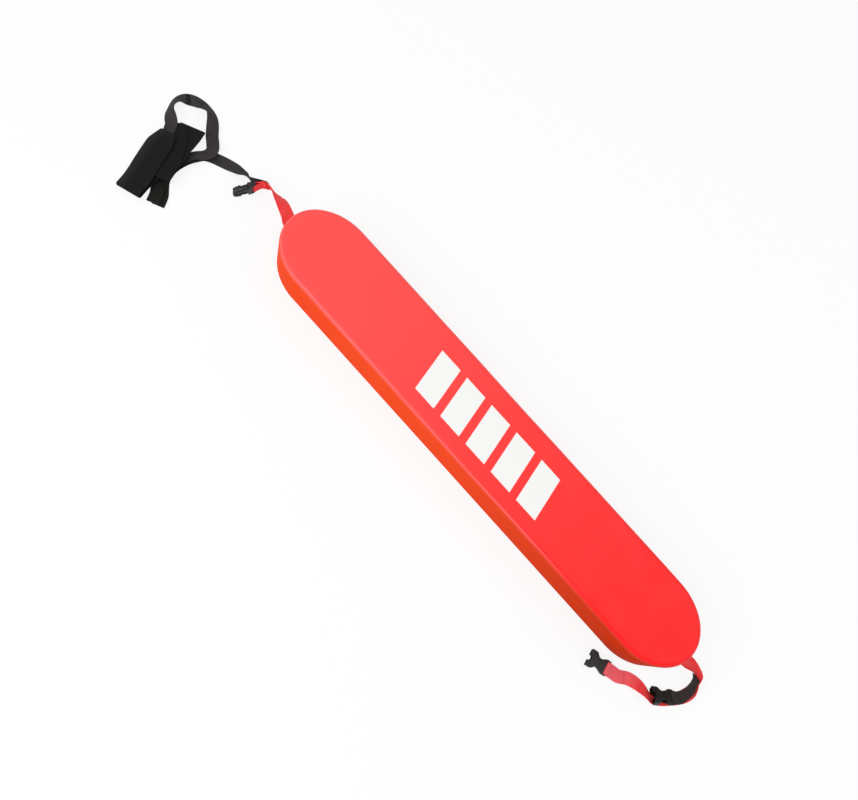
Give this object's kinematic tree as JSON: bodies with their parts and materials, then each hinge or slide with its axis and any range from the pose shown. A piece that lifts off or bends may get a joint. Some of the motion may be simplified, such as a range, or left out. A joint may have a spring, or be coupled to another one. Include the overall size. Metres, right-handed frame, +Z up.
{
  "type": "lifeguard rescue tube",
  "caption": "Long flat foam float in a red vinyl skin with through webbing, side-release buckle pieces at both ends and a folded tow line with a wide shoulder strap.",
  "frame": {"origin": "centre of the float's bottom face, on the surface it lies on", "axes": "+X along the float towards the end with the two sockets, +Z up through its thickness, +Y away from the folded straps"},
  "size_m": [1.4081, 0.251, 0.09],
  "materials": {
    "vinyl": "dipped vinyl, satin",
    "foam": "closed-cell foam, matt",
    "webbing_red": "woven",
    "webbing_black": "woven",
    "buckle": "moulded, satin"
  },
  "bodies": {
    "float": {"foam_core_upper": "foam", "foam_core_lower": "foam", "vinyl_skin": "vinyl", "through_webbing": "webbing_red", "carrier_webbing": "webbing_black", "tow_line": "webbing_black", "shoulder_strap": "webbing_black"},
    "plug": {"plug_body": "buckle"},
    "arm_upper": {"latch_arm_upper": "buckle"},
    "arm_lower": {"latch_arm_lower": "buckle"},
    "near_socket": {"near_socket": "buckle"},
    "far_socket": {"far_socket": "buckle"}
  },
  "joints": [
    {"name": "plug_swivel", "type": "hinge", "parent": "float", "child": "plug", "pos_m": [-0.6057, 0.0079, 0.0155], "axis": [0, 0, 1], "range_deg": [-45, 75]},
    {"name": "arm_upper_flex", "type": "hinge", "parent": "plug", "child": "arm_upper", "pos_m": [-0.61072, -0.00517, 0.0259], "axis": [0.9336, -0.3584, 0], "range_deg": [0, 10], "stiffness_Nm_per_rad": 1.2},
    {"name": "arm_lower_flex", "type": "hinge", "parent": "plug", "child": "arm_lower", "pos_m": [-0.61072, -0.00517, 0.0051], "axis": [-0.9336, 0.3584, 0], "range_deg": [0, 10], "stiffness_Nm_per_rad": 1.2},
    {"name": "near_socket_swivel", "type": "hinge", "parent": "float", "child": "near_socket", "pos_m": [0.5475, -0.0507, 0.0146], "axis": [-0.5447, 0.6377, -0.5446], "range_deg": [0, 80]},
    {"name": "far_socket_swivel", "type": "hinge", "parent": "float", "child": "far_socket", "pos_m": [0.434, -0.1009, 0.0065], "axis": [-0.2504, 0.9681, 0], "range_deg": [-80, 80]}
  ]
}
